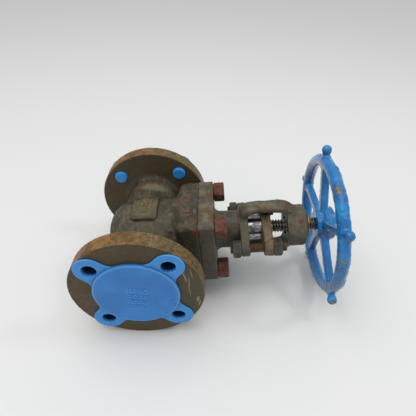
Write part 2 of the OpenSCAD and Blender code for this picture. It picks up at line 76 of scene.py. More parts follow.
flange_r = high("body", "z")
flange_t = 15.9
raised_face_r = 36.5
raised_face_h = -low("body", "y")
port_r = 19.05
neck_r = 31
barrel_r = 37
barrel_low = -37.5
joint_x = 59.6
spigot_x = 56.8
square_half = 39.25
square_back_x = 37
bonnet_face_x = 75
bolt_top_x = 87
bonnet_neck_r = 20
bolt_pitch = 58.8
lug_x = 100.5
lug_top_x = 109.8
lug_middle_r = 20.6
lug_end_r = 8
gland_pitch = 64
stud_r = 4.8
gland_middle_r = 17
gland_end_r = 8.5
nut_h = 8.2
nut_across = 16
bolt_across = 19
gland_x, gland_top_x = span("gland_flange")
yoke_end_x = high("bonnet", "x")
hub_low_x = 150.6
hub_r = 22.3
stem_r = 7
wheel_x = 191.3
wheel_back_x = 182.7
wheel_front_x = 201
washer_top_x = 203
wheel_nut_top_x = 211.2
wheel_hub_r = 15
rim_r = 68.6
rim_tube_r = 6.3
knob_at_r = 80.9
knob_r = 4.9
spoke_turn = 2.9
spoke_n = 5
cap_disc_r = 40.6
cap_lug_r = 14.5
cap_disc_h = 3.6
cap_web_h = 2.0
plug_r = 7.88
plug_end_r = 7.3
plug_bore_r = 6.55
plug_top_y = flange_t + 2.4

# ---- camera -----------------------------------------------------------------------------


def add_camera():
    """Looks down on the inlet flange from the front and a little to the right."""
    azimuth, elevation, roll = radians(3.52), radians(38.56), radians(-5.83)
    place = Vector((86.42, -201.11, 256.12)) * MM
    back = Vector((sin(azimuth) * cos(elevation), -cos(azimuth) * cos(elevation), sin(elevation)))
    level_right = (-back).cross(Vector((0, 0, 1))).normalized()
    level_up = level_right.cross(-back)
    right = cos(roll) * level_right + sin(roll) * level_up
    up = cos(roll) * level_up - sin(roll) * level_right
    data = bpy.data.cameras.new("camera")
    data.sensor_width = 36
    data.lens = 29.84
    data.clip_start = 0.01
    camera = bpy.data.objects.new("camera", data)
    camera.matrix_world = Matrix.Translation(place) @ Matrix((right, up, back)).transposed().to_4x4()
    bpy.context.scene.collection.objects.link(camera)
    bpy.context.scene.camera = camera


add_camera()

# ---- materials --------------------------------------------------------------------------


def colour(code):
    """A linear colour from a six digit hexadecimal one."""
    parts = [int(code[i : i + 2], 16) / 255 for i in (0, 2, 4)]
    return tuple(c / 12.92 if c <= 0.04045 else ((c + 0.055) / 1.055) ** 2.4 for c in parts) + (1,)


class Finish:
    """A material, with short ways to add nodes. Sizes are in millimetres."""

    def __init__(self, name, roughness=0.5, metallic=0.0):
        self.material = bpy.data.materials.new(name)
        self.material.use_nodes = True
        self.tree = self.material.node_tree
        self.shader = self.tree.nodes["Principled BSDF"]
        self.shader.inputs["Roughness"].default_value = roughness
        self.shader.inputs["Metallic"].default_value = metallic
        self.place = self.tree.nodes.new("ShaderNodeTexCoord").outputs["Object"]
        self.height = None
        self.seed = 0

    def node(self, kind, inputs=None, **settings):
        made = self.tree.nodes.new("ShaderNode" + kind)
        for key, value in settings.items():
            setattr(made, key, value)
        for key, value in (inputs or {}).items():
            self.put(made.inputs[key], value)
        return made

    def put(self, socket, value):
        """Links a node's output to a socket, or sets the socket to a number or colour code."""
        if isinstance(value, bpy.types.NodeSocket):
            self.tree.links.new(value, socket)
        else:
            socket.default_value = colour(value) if isinstance(value, str) else value

    def noise(self, size, detail, warp=0.0, stretch=(1, 1, 1)):
        """A noise from 0 to 1 whose lumps are about size across."""
        self.seed += 1
        inputs = {"Vector": self.place, "W": self.seed * 3.7, "Scale": 1 / (size * MM)}
        inputs.update({"Detail": detail, "Roughness": 0.55, "Distortion": warp})
        if stretch != (1, 1, 1):
            inputs["Vector"] = self.node("Mapping", {"Vector": self.place, "Scale": stretch}).outputs[0]
        return self.node("TexNoise", inputs, noise_dimensions="4D").outputs["Fac"]

    def pits(self, size):
        """The distance from the nearest of many scattered points, 0 at a point."""
        inputs = {"Vector": self.place, "Scale": 1 / (size * MM)}
        return self.node("TexVoronoi", inputs, voronoi_dimensions="4D").outputs["Distance"]

    def maths(self, operation, first, second=0.0):
        made = self.node("Math", operation=operation)
        self.put(made.inputs[0], first)
        self.put(made.inputs[1], second)
        return made.outputs[0]

    def times(self, first, second):
        return self.maths("MULTIPLY", first, second)

    def plus(self, first, second):
        return self.maths("ADD", first, second)

    def minus(self, first, second):
        return self.maths("SUBTRACT", first, second)

    def absolute(self, value):
        return self.maths("ABSOLUTE", value)

    def step(self, value, start, end):
        """0 where value is at start and 1 where it is at end, smooth between them."""
        inputs = {"Value": value, "From Min": start, "From Max": end}
        return self.node("MapRange", inputs, interpolation_type="SMOOTHSTEP").outputs[0]

    def patches(self, size, detail, start, end, **settings):
        """A noise made 0 where it is at start and 1 where it is at end."""
        return self.step(self.noise(size, detail, **settings), start, end)

    def mix(self, share, first, second):
        made = self.node("Mix", data_type="RGBA")
        self.put(made.inputs[0], share)
        self.put(made.inputs[6], first)
        self.put(made.inputs[7], second)
        return made.outputs[2]

    def tint(self, base, share, amount, code):
        """The base with a colour laid over it, amount of that colour where share is 1."""
        return self.mix(self.times(share, amount), base, code)

    def axis(self, letter):
        return self.node("SeparateXYZ", {"Vector": self.place}).outputs[letter]

    def radius(self, centre, across):
        """The distance in metres from a line through centre, in the directions that across keeps."""
        moved = self.node("VectorMath", {0: self.place, 1: Vector(centre) * MM}, operation="SUBTRACT")
        kept = self.node("VectorMath", {0: moved.outputs[0], 1: across}, operation="MULTIPLY")
        return self.node("VectorMath", {0: kept.outputs[0]}, operation="LENGTH").outputs["Value"]

    def from_middle(self):
        """The distance along the run from the stem axis."""
        return self.absolute(self.minus(self.axis("Y"), stem_y * MM))

    def facing_up(self):
        """1 where the surface faces up, -1 where it faces down."""
        return self.node("SeparateXYZ", {"Vector": self.node("NewGeometry").outputs["Normal"]}).outputs["Z"]

    def rings(self, place, per_metre, detail=2.0):
        """A noise from 0 to 1 that changes along one direction only, as a lathe leaves."""
        inputs = {"W": self.times(place, per_metre), "Detail": detail}
        return self.node("TexNoise", inputs, noise_dimensions="1D").outputs["Fac"]

    def attribute(self, name):
        return self.node("Attribute", attribute_name=name).outputs["Fac"]

    def spot(self, centre, size, turn=(0, 0, 0), ragged=0.5, soft=0.35, grain=2.5):
        """1 inside an ellipsoid of half-axes size, 0 outside, with a ragged edge."""
        inputs = {
            "Vector": self.place,
            "Location": Vector(centre) * MM,
            "Rotation": [radians(a) for a in turn],
            "Scale": Vector(size) * MM,
        }
        inner = self.node("Mapping", inputs, vector_type="TEXTURE").outputs[0]
        away = self.node("VectorMath", {0: inner}, operation="LENGTH").outputs["Value"]
        rough = self.times(self.minus(self.noise(grain, 3), 0.5), ragged * 2)
        return self.step(self.plus(away, rough), 1 + soft / 2, 1 - soft / 2)

    def spots(self, places, **settings):
        """The union of several spots, each (centre, size) or (centre, size, turn)."""
        total = self.spot(*places[0], **settings)
        for place in places[1:]:
            total = self.maths("MAXIMUM", total, self.spot(*place, **settings))
        return total

    def raise_by(self, height, depth):
        """Adds a bump of that height pattern, depth millimetres from 0 to 1."""
        scaled = self.times(height, depth)
        self.height = scaled if self.height is None else self.plus(self.height, scaled)

    def done(self, base, roughness=None):
        """Joins the colour, roughness and bump to the shader."""
        self.put(self.shader.inputs["Base Color"], base)
        if roughness is not None:
            self.put(self.shader.inputs["Roughness"], roughness)
        if self.height is not None:
            bump = self.node("Bump", {"Height": self.height, "Distance": MM, "Strength": 1.0})
            self.put(self.shader.inputs["Normal"], bump.outputs[0])
        return self.material


def forged_steel():
    """Oiled grey-brown forging, with tan flash rust on the flange rims and rust runs."""
    f = Finish("forged_steel")
    f.shader.inputs["Specular IOR Level"].default_value = 0.3
    broad, patch, fine, grit = f.noise(30, 4), f.noise(11, 6, warp=0.6), f.noise(3.2, 5), f.noise(0.9, 3)
    edge = f.attribute("edge")
    base = f.mix(f.step(broad, 0.38, 0.62), "38342a", "534d3d")
    base = f.tint(base, f.step(patch, 0.52, 0.66), 0.65, "5f5236")
    base = f.tint(base, f.step(patch, 0.44, 0.34), 0.6, "30312e")
    base = f.tint(base, f.step(fine, 0.52, 0.72), 0.5, "37342b")
    base = f.tint(base, f.step(grit, 0.58, 0.75), 0.4, "857b60")
    streaks = f.noise(5, 5, warp=0.8, stretch=(1, 0.45, 1))
    base = f.tint(base, f.step(streaks, 0.54, 0.66), 0.45, "7c7358")
    base = f.tint(base, f.step(streaks, 0.46, 0.36), 0.5, "2a2822")
    # the bonnet is paler than the body, and the pad more yellow
    upper = f.step(f.axis("X"), (joint_x - 1) * MM, (joint_x + 1) * MM)
    pale = f.mix(f.step(patch, 0.35, 0.65), "4c4b42", "827861")
    base = f.mix(f.times(upper, 0.6), base, pale)
    pad = f.spot((4, stem_y + 1.5, 39), (14, 19, 5), ragged=0.25, soft=0.3, grain=5)
    yellowed = f.mix(f.step(fine, 0.35, 0.65), "5c5136", "746746")
    base = f.mix(f.times(pad, 0.65), base, yellowed)
    lug_zone = f.step(f.absolute(f.minus(f.axis("X"), 98 * MM)), 15 * MM, 9 * MM)
    base = f.tint(base, lug_zone, 0.5, "3d3b34")
    # painted shade: surfaces that face down are darkened towards 2b2b28, unevenly
    faces_up = f.facing_up()
    shade = f.times(f.step(faces_up, 0.65, -0.2), f.plus(0.3, f.times(patch, 0.5)))
    base = f.mix(shade, base, "2b2b28")
    # the rims and faces of both flanges are machined, and the rims have rusted tan
    run_r = f.radius((0, 0, 0), (1, 0, 1))
    along = f.from_middle()
    on_flange = f.step(along, (stem_y - flange_t - 0.6) * MM, (stem_y - flange_t - 0.1) * MM)
    on_rim = f.times(f.step(run_r, (flange_r - 1.2) * MM, (flange_r - 0.2) * MM), on_flange)
    rim_rust = f.mix(f.patches(9, 5, 0.38, 0.62), "664724", "936d3a")
    olive = f.step(f.axis("X"), -12 * MM, 28 * MM)
    green = f.mix(f.step(fine, 0.4, 0.6), "51482f", "7b6f4a")
    rim_rust = f.mix(f.times(olive, 0.75), rim_rust, green)
    rim_rust = f.mix(f.patches(6, 4, 0.56, 0.68, warp=0.6), rim_rust, "774122")
    rim_rust = f.mix(f.patches(1.5, 4, 0.6, 0.7), rim_rust, "bda87c")
    rim_rust = f.tint(rim_rust, f.patches(2.4, 4, 0.57, 0.68), 0.6, "3e3122")
    base = f.mix(f.times(on_rim, 0.92), base, rim_rust)
    on_face = f.times(on_flange, f.minus(1.0, on_rim))
    turned = f.rings(run_r, 1100.0, 4.0)
    face = f.mix(f.step(turned, 0.35, 0.65), "3b3426", "5d5440")
    face = f.tint(face, f.patches(15, 5, 0.42, 0.58, warp=0.7), 0.9, "574526")
    face = f.tint(face, f.patches(2, 5, 0.6, 0.7), 0.6, "8f8770")
    base = f.mix(f.times(on_face, 0.85), base, face)
    f.raise_by(f.times(on_face, turned), 0.12)
    # rust runs and stains
    places = [
        ((6, 134, 33), (7, 3, 9)), ((-14, 127, 28), (6, 4, 8)),
        ((55, 52, 38), (7, 4, 8)), ((57, 43, 30), (3, 4, 8)),
        ((-30, 0, 55), (17, 3, 3)), ((-12, -1, 57), (7, 2, 2)),
        ((-55, -1, -14), (5, 3, 10)), ((30, 48, 33), (9, 8, 5)),
        ((38, 84, 34), (2.5, 22, 8)), ((66, 66, 39), (6, 3, 6)),
        ((71, 92, 39), (5, 7, 4)), ((72, 58, 39), (3, 8, 4)),
        ((152, 82, 29), (7, 8, 5)), ((128, 74, 31), (7, 3, 2)),
        ((164, 66, 18), (3, 9, 5)),
    ]
    stains = f.spots(places, ragged=0.8, soft=0.9, grain=6)
    neck = f.spot((8, 128, 32), (17, 7, 9), ragged=0.5, soft=0.8, grain=7)
    base = f.tint(base, neck, 0.5, "8b866c")
    rust = f.mix(f.patches(4, 4, 0.4, 0.65), "4c3018", "7a5029")
    base = f.mix(f.times(stains, 0.6), base, rust)
    flecks = f.times(f.patches(7, 5, 0.58, 0.68, warp=0.8), 0.55)
    base = f.mix(flecks, base, "5f4122")
    # edges are rubbed brighter, and corners between surfaces are darkened as painted shade
    worn = f.step(f.plus(edge, f.times(f.noise(4, 3), 0.5)), 0.55, 1.0)
    base = f.tint(base, worn, 0.45, "8d8469")
    # painted shade: concave corners darkened towards 1f1d19
    painted_corner_shade = f.step(f.plus(edge, f.times(f.noise(5, 3), 0.2)), 0.0, -0.4)
    base = f.tint(base, painted_corner_shade, 0.8, "1f1d19")
    # scratches on the front face, and crayon dashes on the bonnet joint
    places = [
        ((47, 0, 19), (0.6, 1, 8), (0, -9, 0)), ((50, 0, 9), (0.4, 1, 9), (0, 5, 0)),
        ((53.5, 0, 22), (0.3, 1, 6), (0, -5, 0)), ((56, 0, -14), (1.2, 1, 4), (0, 8, 0)),
        ((57, 0, -20), (0.5, 1, 5), (0, 16, 0)), ((49.5, 0, -4), (0.3, 1, 5), (0, 3, 0)),
    ]
    scratches = f.spots(places, ragged=0.7, soft=0.8)
    base = f.tint(base, scratches, 0.6, "aaa696")
    dashes = [((47.3, 94.9, 39), 0.9), ((47.7, 85.2, 39), 0.95), ((48.5, 67.8, 39), 0.85)]
    dashes += [((48.8, 61.5, 39), 0.8), ((53.8, 42.4, 36), 0.6)]
    crayon = f.spots([(at, (2.8 * k, 1.0 * k, 3)) for at, k in dashes], ragged=0.7, soft=0.4, grain=1.5)
    base = f.tint(base, crayon, 0.8, "b03a28")
    f.raise_by(f.noise(11, 4), 0.5)
    f.raise_by(fine, 0.35)
    f.raise_by(grit, 0.12)
    f.raise_by(f.step(f.pits(4.5), 0.25, 0.05), -0.12)
    shine = f.step(patch, 0.25, 0.8)
    return f.done(base, roughness=f.plus(f.times(shine, 0.25), 0.4))


def rusted_bolt():
    """Red-brown scale with a speckled pale bloom."""
    f = Finish("rusted_bolt", roughness=0.75)
    edge = f.attribute("edge")
    base = f.mix(f.patches(5, 5, 0.38, 0.66), "4d261a", "714130")
    base = f.tint(base, f.patches(1.3, 4, 0.56, 0.7), 0.6, "94705a")
    base = f.tint(base, f.patches(2.6, 4, 0.56, 0.68), 0.75, "2c1812")
    base = f.tint(base, f.step(edge, 0.3, 0.9), 0.35, "8f5f42")
    f.raise_by(f.noise(2.2, 5), 0.35)
    f.raise_by(f.noise(0.7, 3), 0.12)
    return f.done(base)


def rusted_steel(name, main, dark, rust, share):
    """Brown rusted steel in three tones, share of it in the third."""
    f = Finish(name, roughness=0.62)
    edge = f.attribute("edge")
    base = f.mix(f.patches(9, 5, 0.36, 0.66, warp=0.4), dark, main)
    start = 0.72 - 0.35 * share
    base = f.tint(base, f.patches(4, 5, start, start + 0.12, warp=0.5), 0.75, rust)
    base = f.tint(base, f.patches(1.1, 3, 0.56, 0.72), 0.35, "857c66")
    base = f.tint(base, f.step(edge, 0.35, 1.0), 0.35, "8c8067")
    # painted shade: concave corners darkened towards 2b2822
    base = f.tint(base, f.step(edge, -0.1, -0.6), 0.7, "2b2822")
    f.raise_by(f.noise(3, 5), 0.3)
    f.raise_by(f.noise(0.8, 3), 0.1)
    return f.done(base)


def polished_steel():
    """Bright steel turned on a lathe, with fine rings about the stem axis and oily smears."""
    f = Finish("polished_steel", metallic=1.0)
    smear = f.patches(5, 4, 0.4, 0.6, warp=0.5)
    base = f.tint("a3a5a5", smear, 0.85, "4d4b47")
    f.raise_by(f.rings(f.axis("X"), 2200.0), 0.02)
    f.raise_by(f.noise(2, 3), 0.02)
    return f.done(base, roughness=f.plus(f.times(smear, 0.2), 0.16))


def greased_thread():
    """Dark stainless thread with old grease in its roots and bright crests."""
    f = Finish("stem_steel", metallic=1.0)
    away = f.radius((0, stem_y, 0), (0, 1, 1))
    crest = f.step(away, (stem_r - 1.1) * MM, (stem_r - 0.1) * MM)
    grime = f.times(f.patches(3, 4, 0.3, 0.6), f.minus(1.0, f.times(crest, 0.75)))
    base = f.mix(f.patches(2, 4, 0.35, 0.7), "8d8983", "c4c2bd")
    base = f.mix(grime, base, "2c2824")
    f.raise_by(f.noise(1, 3), 0.05)
    return f.done(base, roughness=f.plus(f.times(grime, 0.35), 0.22))


def brass():
    f = Finish("brass", roughness=0.28, metallic=1.0)
    base = f.mix(f.patches(3, 4, 0.4, 0.7), "c9a44c", "8a6f38")
    f.raise_by(f.noise(1.2, 3), 0.03)
    return f.done(base)


def graphite():
    f = Finish("graphite", roughness=0.55)
    base = f.mix(f.patches(2, 4, 0.4, 0.65), "26272a", "3c3d40")
    f.raise_by(f.noise(0.8, 4), 0.06)
    return f.done(base)


def wound_gasket():
    f = Finish("gasket", roughness=0.4, metallic=0.8)
    away = f.radius((0, stem_y, 0), (0, 1, 1))
    rings = f.rings(away, 2500.0)
    base = f.mix(f.step(rings, 0.4, 0.6), "5c6063", "9a9c9c")
    f.raise_by(rings, 0.1)
    return f.done(base)


def wheel_paint():
    """Thick glossy blue enamel over a rough casting, chipped to brown steel."""
    f = Finish("wheel_paint")
    edge = f.attribute("edge")
    broad = f.patches(22, 4, 0.35, 0.68)
    blue = f.mix(broad, "0c6bb2", "1794dc")
    blue = f.tint(blue, f.patches(2.5, 4, 0.55, 0.75), 0.35, "104a88")
    # painted shade: concave corners of the paint darkened towards 0d3561
    blue = f.tint(blue, f.step(edge, -0.15, -0.6), 0.5, "0d3561")
    # painted highlight: convex edges of the paint lightened towards 4aa6e2
    blue = f.tint(blue, f.step(edge, 0.45, 1.1), 0.3, "4aa6e2")
    # painted shade: surfaces that face down are darkened towards 0c3766
    faces_up = f.facing_up()
    blue = f.tint(blue, f.step(faces_up, 0.5, -0.3), 0.75, "0c3766")
    scuff = f.times(f.patches(17, 5, 0.58, 0.72, warp=0.9), 0.35)
    blue = f.mix(scuff, blue, "5a83a0")
    bare = f.mix(f.patches(3, 4, 0.4, 0.62), "5f5541", "8a8064")
    bare = f.mix(f.patches(5, 3, 0.58, 0.7), bare, "5c3d28")
    places = [
        ((188.5, 49.4, 67.2), (2.4, 3.4, 4.6)), ((188.7, 8.7, 17.3), (2.8, 2, 1.5)),
        ((187.1, 8.3, 9.9), (2.6, 2, 1.3)), ((185.5, 23.8, -33.5), (3.6, 5, 2.4), (30, 0, 0)),
        ((190, 14, -26), (3, 2.2, 1.6), (40, 0, 0)), ((192.5, 13.5, -53), (7, 5.5, 5.5)),
        ((195.5, 120, 50), (4, 3, 2)), ((196.5, 60, -64), (3, 4, 2.4)),
        ((197, 146, -20), (3, 2, 4)), ((187, 140, 38), (3, 2, 3)),
        ((191.3, 109.5, -79), (6, 4, 3.4)), ((200, 97, 6), (2.5, 2.5, 3)),
    ]
    chip = f.spots(places, ragged=1.3, soft=0.12, grain=2.8)
    small = f.times(f.patches(2.6, 4, 0.71, 0.725, warp=0.4), f.step(edge, -0.2, 0.3))
    chip = f.maths("MAXIMUM", chip, small)
    base = f.mix(chip, blue, bare)
    wrinkled = f.spot((197, 55, 57), (9, 36, 26), ragged=0.4, soft=0.8)
    f.raise_by(f.noise(3.5, 3), 0.4)
    f.raise_by(f.times(wrinkled, f.noise(2.2, 3)), 1.6)
    f.raise_by(f.noise(1.4, 3), 0.25)
    f.raise_by(chip, -0.15)
    rough = f.plus(f.times(chip, 0.45), f.plus(0.24, f.times(scuff, 0.8)))
    f.shader.inputs["Specular IOR Level"].default_value = 0.3
    f.shader.inputs["Coat Weight"].default_value = 0.7
    f.shader.inputs["Coat Roughness"].default_value = 0.04
    return f.done(base, roughness=rough)


def cap_plastic():
    """Soft blue polyethylene, a little scuffed and dusty."""
    f = Finish("cap_plastic", roughness=0.42)
    edge = f.attribute("edge")
    base = f.mix(f.patches(30, 3, 0.35, 0.65), "1f76c4", "2784d3")
    run_r = f.radius((0, 0, 0), (1, 0, 1))
    base = f.tint(base, f.step(run_r, 41 * MM, 46 * MM), 0.5, "3fa0ee")
    # painted highlight: convex edges lightened towards 58adf0
    base = f.tint(base, f.step(edge, 0.2, 0.8), 0.6, "58adf0")
    # painted shade: concave corners darkened towards 15549a
    base = f.tint(base, f.step(edge, -0.15, -0.7), 0.35, "15549a")
    # painted highlight: a lighter ring along the disc's rounded rim
    painted_disc_rim_highlight = f.times(f.step(run_r, 38 * MM, 39.3 * MM), f.step(run_r, 40.9 * MM, 40.1 * MM))
    base = f.tint(base, painted_disc_rim_highlight, 0.45, "62b2f0")
    # painted shade: a darker ring in the crease between the disc and the web
    painted_disc_crease_shade = f.times(f.step(run_r, 40.3 * MM, 40.9 * MM), f.step(run_r, 42.2 * MM, 41.2 * MM))
    base = f.tint(base, painted_disc_crease_shade, 0.55, "124c92")
    along = f.from_middle()
    lug_a = f.minus(f.absolute(f.axis("X")), bolt_at * MM)
    lug_b = f.minus(f.absolute(f.axis("Z")), bolt_at * MM)
    lug_away = f.maths("SQRT", f.plus(f.times(lug_a, lug_a), f.times(lug_b, lug_b)))
    # painted shade: the insides of the plugs are darkened, from the mouth to just short of the flange's
    # back
    below = f.step(along, (stem_y + 1.5) * MM, (stem_y - 2) * MM)
    painted_plug_shade = f.times(f.step(lug_away, 7.6 * MM, 7.0 * MM), below)
    above = f.step(along, (stem_y - flange_t - 0.2) * MM, (stem_y - flange_t + 0.6) * MM)
    painted_plug_shade = f.times(painted_plug_shade, above)
    base = f.tint(base, painted_plug_shade, 0.92, "081c36")
    dust = f.times(f.patches(1.4, 4, 0.6, 0.74), f.patches(26, 3, 0.42, 0.7))
    base = f.tint(base, dust, 0.35, "7fa6c8")
    places = [
        ((14.5, -3.6, 17), (1.0, 2, 0.8)), ((33, -3.6, -8), (1.6, 2, 1.4)),
        ((34, -3.6, -15), (1.4, 2, 2.2)),
    ]
    marks = f.spots(places, ragged=0.5, soft=0.5, grain=1.5)
    base = f.tint(base, marks, 0.6, "4b5a66")
    f.raise_by(f.noise(7, 3), 0.12)
    f.raise_by(f.noise(0.6, 2), 0.015)
    rough = f.plus(0.36, f.times(f.noise(9, 4), 0.16))
    f.shader.inputs["Subsurface Weight"].default_value = 0.08
    f.shader.inputs["Subsurface Scale"].default_value = 0.003
    return f.done(base, roughness=rough)


finishes = {
    "forged_steel": forged_steel(),
    "rusted_bolt": rusted_bolt(),
    "rusty_stud": rusted_steel("rusty_stud", "5c4a35", "352a1f", "6b3f20", 0.7),
    "dark_nut": rusted_steel("dark_nut", "49463e", "2c2a26", "7a4924", 0.4),
    "gland_plate": rusted_steel("gland_plate", "776848", "4c412d", "714a25", 0.6),
    "polished_steel": polished_steel(),
    "stem_steel": greased_thread(),
    "brass": brass(),
    "graphite": graphite(),
    "gasket": wound_gasket(),
    "wheel_paint": wheel_paint(),
    "cap_plastic": cap_plastic(),
}
node_slot = {s["node"]: s["material_slot"] for s in frame["record"]["subparts"]}
node_body = {n: b for b, ns in frame["record"]["behaviour"]["bodies"].items() for n in ns}

# ---- solid shapes as distances, negative inside -----------------------------------------


def meet(a, b, r=0.3):
    """Where both a and b are, the edge between them rounded to radius r."""
    return np.minimum(np.maximum(a, b), -r) + np.hypot(np.maximum(a + r, 0), np.maximum(b + r, 0))


def join(a, b, r=0.3):
    """Where either a or b is, the corner between them filled to radius r."""
    return -meet(-a, -b, r)


def less(a, b, r=0.3):
    """Where a is and b is not, the edge rounded to radius r."""
    return meet(a, -b, r)


def bar(away, along, r, start, end, edge=0.5, end_edge=None):
    """A round bar of radius r about the line that away is measured from."""
    d = meet(away - r, start - along, edge)
    return meet(d, along - end, edge if end_edge is None else end_edge)


def bored(d, away, along, bores):
    """A shape less bores about one line, each (radius, start, end, edge inside, edge of its mouth)."""
    for r, start, end, inner, mouth in bores:
        d = less(d, bar(away, along, r, start, end, inner), mouth)
    return d


def block(a, b, half_a, half_b, corner):
    """A long bar of rounded rectangular section in two directions."""
    return meet(np.abs(a) - half_a, np.abs(b) - half_b, corner)


def hexagon(a, b, across, turn, corner=0.6):
    d = None
    for k in range(3):
        angle = radians(turn + 60 * k)
        side = np.abs(a * cos(angle) + b * sin(angle)) - across / 2
        d = side if d is None else meet(d, side, corner)
    return d


def path_distance(a, b, points, halves):
    """The distance from a smooth path of changing thickness, in the plane of a and b."""
    at, half = smooth_path(points, halves)
    best = None
    for (p, q), (s, t) in zip(zip(at, at[1:]), zip(half, half[1:])):
        step = q - p
        share = np.clip(((a - p[0]) * step[0] + (b - p[1]) * step[1]) / (step @ step), 0, 1)
        d = np.hypot(a - p[0] - share * step[0], b - p[1] - share * step[1]) - (s + (t - s) * share)
        best = d if best is None else np.minimum(best, d)
    return best


def smooth_path(points, halves, pieces=6):
    """A curve through points, with the half thickness at each, as short straight pieces."""
    p = np.array([(*at, h) for at, h in zip(points, halves)], float)
    p = np.vstack([2 * p[0] - p[1], p, 2 * p[-1] - p[-2]])
    out = []
    for i in range(1, len(p) - 2):
        for t in np.arange(pieces) / pieces:
            a, b, c, d = p[i - 1 : i + 3]
            square, cube = 2 * a - 5 * b + 4 * c - d, 3 * b - a - 3 * c + d
            out.append(0.5 * (2 * b + (c - a) * t + square * t**2 + cube * t**3))
    out.append(p[-2])
    out = np.array(out)
    return out[:, :2], out[:, 2]


def lumps(p, size, seed):
    """A smooth random field between about -1 and 1, its lumps about size across."""
    random = np.random.default_rng(seed)
    total = 0
    for _ in range(14):
        way = random.normal(size=3)
        wave = way / np.linalg.norm(way) * 2 * pi / size * random.uniform(0.6, 1.5)
        total = total + np.sin(p @ wave + random.uniform(0, 2 * pi))
    return total / sqrt(14)


def grid_values(shape, start, counts, step):
    axes = [start[i] + step * np.arange(counts[i]) for i in range(3)]
    b, c = (g.ravel() for g in np.meshgrid(axes[1], axes[2], indexing="ij"))
    values = np.empty(counts, np.float32)
    for i, a in enumerate(axes[0]):
        values[i] = shape(np.stack([np.full_like(b, a), b, c], 1)).reshape(counts[1:])
    return values


def slope(shape, p, reach):
    out = np.empty_like(p)
    for i in range(3):
        shift = np.zeros(3)
        shift[i] = reach
        out[:, i] = (shape(p + shift) - shape(p - shift)) / (2 * reach)
    return out


def relaxed(p, quads):
    """Each point moved half way to the middle of its neighbours."""
    total = np.zeros_like(p)
    count = np.zeros(len(p))
    for k in (1, 3):
        for i in range(4):
            a, b = quads[:, i], quads[:, (i + k) % 4]
            for j in range(3):
                total[:, j] += np.bincount(a, p[b, j], len(p))
            count += np.bincount(a, minlength=len(p))
    return (p + total / count[:, None]) / 2


def skin(shape, lowest, highest, step, detail=None):
    """Points, quads and edge sharpness of the surface of a shape, found on a grid of that step."""
    start = np.array(lowest, float) - 1.6 * step
    counts = np.ceil((np.array(highest) + 1.6 * step - start) / step).astype(int) + 1
    values = grid_values(shape, start, counts, step)
    inside = values < 0
    corners = [(i, j, k) for i in (0, 1) for j in (0, 1) for k in (0, 1)]
    n = counts - 1
    filled = sum(inside[i : i + n[0], j : j + n[1], k : k + n[2]].astype(np.int8) for i, j, k in corners)
    cells = np.argwhere((filled > 0) & (filled < 8))
    index = np.full(n, -1)
    index[tuple(cells.T)] = np.arange(len(cells))
    at_corner = [values[tuple((cells + c).T)] for c in corners]
    total = np.zeros((len(cells), 3))
    count = np.zeros(len(cells))
    for m, c in enumerate(corners):
        for other in range(m + 1, 8):
            d = corners[other]
            if sum(abs(c[i] - d[i]) for i in range(3)) != 1:
                continue
            a, b = at_corner[m], at_corner[other]
            crossed = (a < 0) != (b < 0)
            share = np.where(crossed, a / np.where(crossed, a - b, 1), 0)
            place = np.array(c) + share[:, None] * (np.array(d) - np.array(c))
            total += place * crossed[:, None]
            count += crossed
    points = start + (cells + total / count[:, None]) * step
    quads = []
    for axis in range(3):
        one, two = (axis + 1) % 3, (axis + 2) % 3
        first = [slice(1, None)] * 3
        first[axis] = slice(0, -1)
        second = [slice(1, None)] * 3
        second[axis] = slice(1, None)
        cut = [slice(0, -1)] * 3
        cut[axis] = slice(0, None)
        a, b = inside[tuple(first)][tuple(cut)], inside[tuple(second)][tuple(cut)]
        for here, flip in ((a & ~b, False), (~a & b, True)):
            cell = np.argwhere(here) + 1
            cell[:, axis] -= 1
            ring = []
            for u, w in ((0, 0), (1, 0), (1, 1), (0, 1)):
                back = cell.copy()
                back[:, one] -= u
                back[:, two] -= w
                ring.append(index[tuple(back.T)])
            ring = np.stack(ring, 1)
            quads.append(ring[:, ::-1] if flip else ring)
    quads = np.vstack(quads)
    for _ in range(3):
        points = relaxed(points, quads)
        for _ in range(2):
            lean = slope(shape, points, 0.1 * step)
            steep = np.maximum((lean**2).sum(1), 0.1)
            move = (shape(points) / steep)[:, None] * lean
            points -= np.clip(move, -step, step)
    reach = 1.2
    edge = -shape(points) * 6
    for i in range(3):
        shift = np.zeros(3)
        shift[i] = reach
        edge += shape(points + shift) + shape(points - shift)
    if detail is not None:
        lean = slope(shape, points, 0.1 * step)
        lean /= np.maximum(np.linalg.norm(lean, axis=1), 0.1)[:, None]
        points += lean * detail(points)[:, None]
    return points, quads, np.clip(edge / (2 * reach), -1.5, 1.5)


def together(parts):
    """Several skins as one."""
    shifts = np.cumsum([0] + [len(p[0]) for p in parts])
    quads = np.vstack([p[1] + s for p, s in zip(parts, shifts)])
    return np.vstack([p[0] for p in parts]), quads, np.concatenate([p[2] for p in parts])


def mirrored(part, axis, about):
    points, quads, edge = part
    points = points.copy()
    points[:, axis] = 2 * about - points[:, axis]
    return points, quads[:, ::-1], edge


